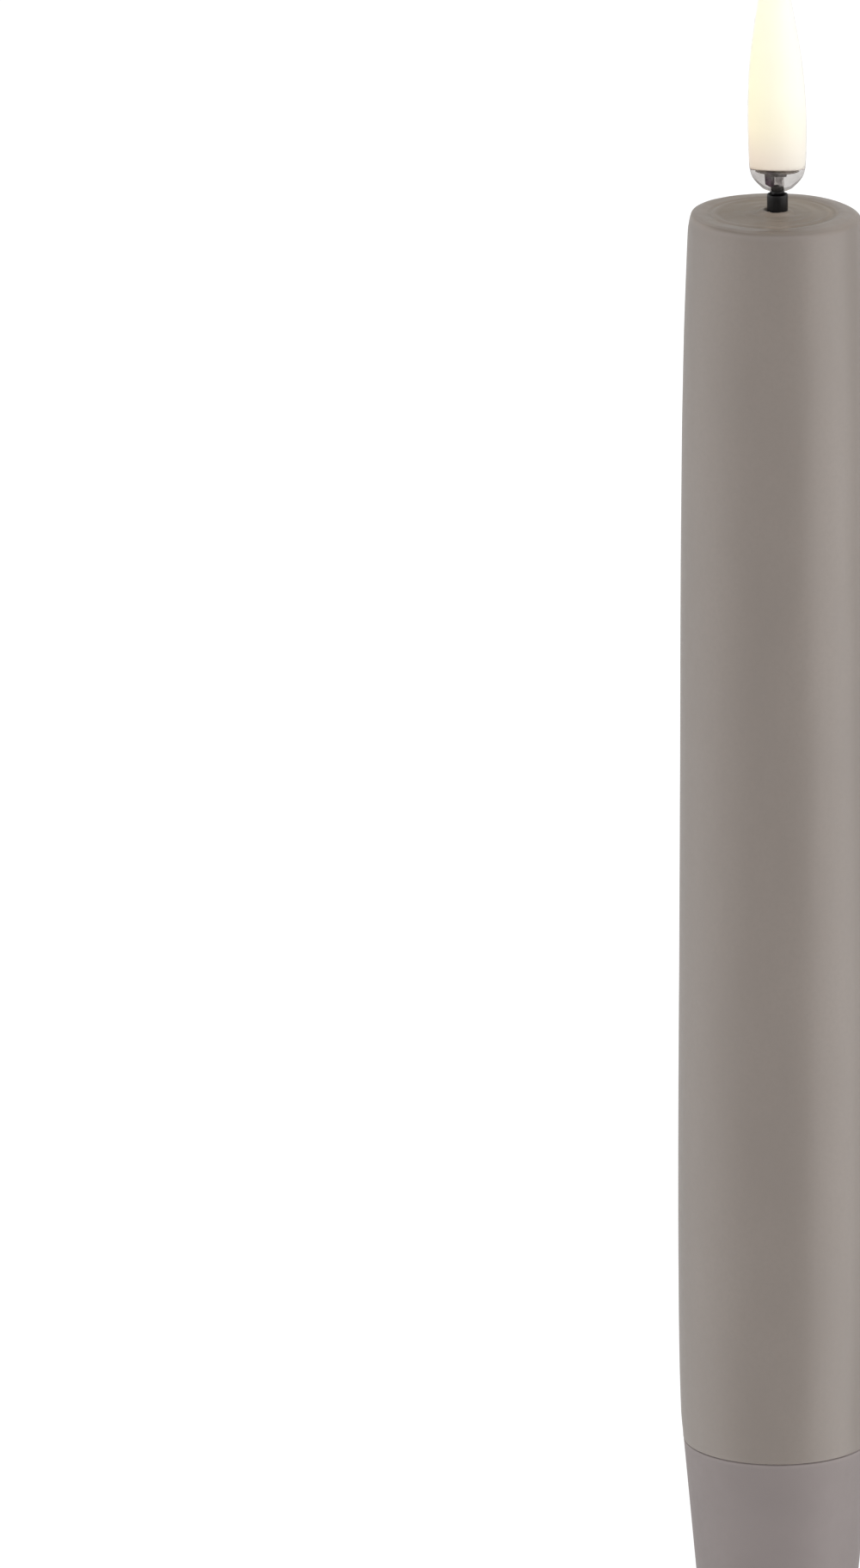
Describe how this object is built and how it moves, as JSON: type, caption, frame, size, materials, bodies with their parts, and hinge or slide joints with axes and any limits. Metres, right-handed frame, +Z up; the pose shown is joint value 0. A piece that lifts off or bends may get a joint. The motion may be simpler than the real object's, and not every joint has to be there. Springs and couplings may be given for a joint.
{
  "type": "flameless LED taper candle",
  "caption": "Slim battery taper candle: wax sleeve on a plastic core, clear plastic flame on a black wick, and a tapered twist-off foot with a slide switch.",
  "frame": {"origin": "centre of the foot's underside, on the surface the candle stands on", "axes": "+Z up along the candle's axis, from the foot to the flame; +X along the slide switch, towards its timer end"},
  "size_m": [0.0232, 0.0232, 0.211],
  "materials": {
    "sandstone_wax": "satin",
    "sandstone_plastic": "satin",
    "clear_flame": "gloss",
    "glowing_milky": "satin",
    "wick_black": "matte",
    "core_white": "satin",
    "chassis_white": "satin",
    "carrier_black": "satin",
    "board_green": "gloss",
    "led_board_dark": "satin",
    "led_white": "gloss",
    "chip_black": "matte",
    "capacitor_can": "satin",
    "resistor_black": "satin",
    "capacitor_tan": "satin",
    "plated_steel": "satin",
    "switch_steel": "satin",
    "brass_strip": "satin",
    "phosphor_bronze": "satin",
    "spring_steel": "polished",
    "screw_steel": "satin",
    "cell_can": "satin",
    "cell_label": "gloss",
    "knob_white": "satin",
    "insulator_brown": "matte",
    "wire_red": "satin",
    "wire_black": "satin",
    "led_leg_tinned": "polished"
  },
  "bodies": {
    "candle": {"wax_sleeve": "sandstone_wax", "core_tube": "core_white", "flame_shell": "clear_flame", "flame_diffuser": "glowing_milky", "led_board": "led_board_dark", "led_package": "led_white", "led_legs": "led_leg_tinned", "wick_sleeve": "wick_black", "wick_stem": "wick_black", "led_wire_red": "wire_red", "led_wire_black": "wire_black", "chassis_front": "chassis_white", "chassis_rear": "chassis_white", "chassis_screws": "screw_steel", "circuit_board": "board_green", "control_chip": "chip_black", "smoothing_capacitor": "capacitor_can", "drive_transistor": "chip_black", "chip_resistors": "resistor_black", "chip_capacitors": "capacitor_tan", "ir_receiver": "chip_black", "positive_contact": "plated_steel", "on_strip": "brass_strip", "timer_strip": "brass_strip"},
    "cells": {"lower_cell": "cell_can", "lower_cell_wrap": "cell_label", "upper_cell": "cell_can", "upper_cell_wrap": "cell_label"},
    "carrier": {"contact_carrier": "carrier_black", "switch_board": "board_green", "board_screws": "screw_steel", "switch_case": "switch_steel", "switch_base": "insulator_brown", "spring_plate": "plated_steel", "contact_spring": "spring_steel", "spring_fingers": "phosphor_bronze"},
    "foot": {"foot_shell": "sandstone_plastic", "retaining_ring": "spring_steel"},
    "knob": {"switch_knob": "knob_white"}
  },
  "joints": [
    {"name": "candle_rise", "type": "slide", "parent": "carrier", "child": "candle", "axis": [0, 0, 1], "range_m": [0, 0.009]},
    {"name": "foot_turn", "type": "hinge", "parent": "carrier", "child": "foot", "pos_m": [0, 0, 0.013], "axis": [0, 0, -1], "range_deg": [0, 360]},
    {"name": "cell_rise", "type": "slide", "parent": "carrier", "child": "cells", "axis": [0, 0, 1], "range_m": [0, 0.00341], "deforming": ["contact_spring"]},
    {"name": "switch_slide", "type": "slide", "parent": "carrier", "child": "knob", "axis": [1, 0, 0], "range_m": [0, 0.003]}
  ],
  "couplings": [
    {"joint": "foot_turn", "follows": "candle_rise", "rad_per_m": 698.1},
    {"joint": "cell_rise", "follows": "candle_rise", "ratio": 0.37778}
  ]
}
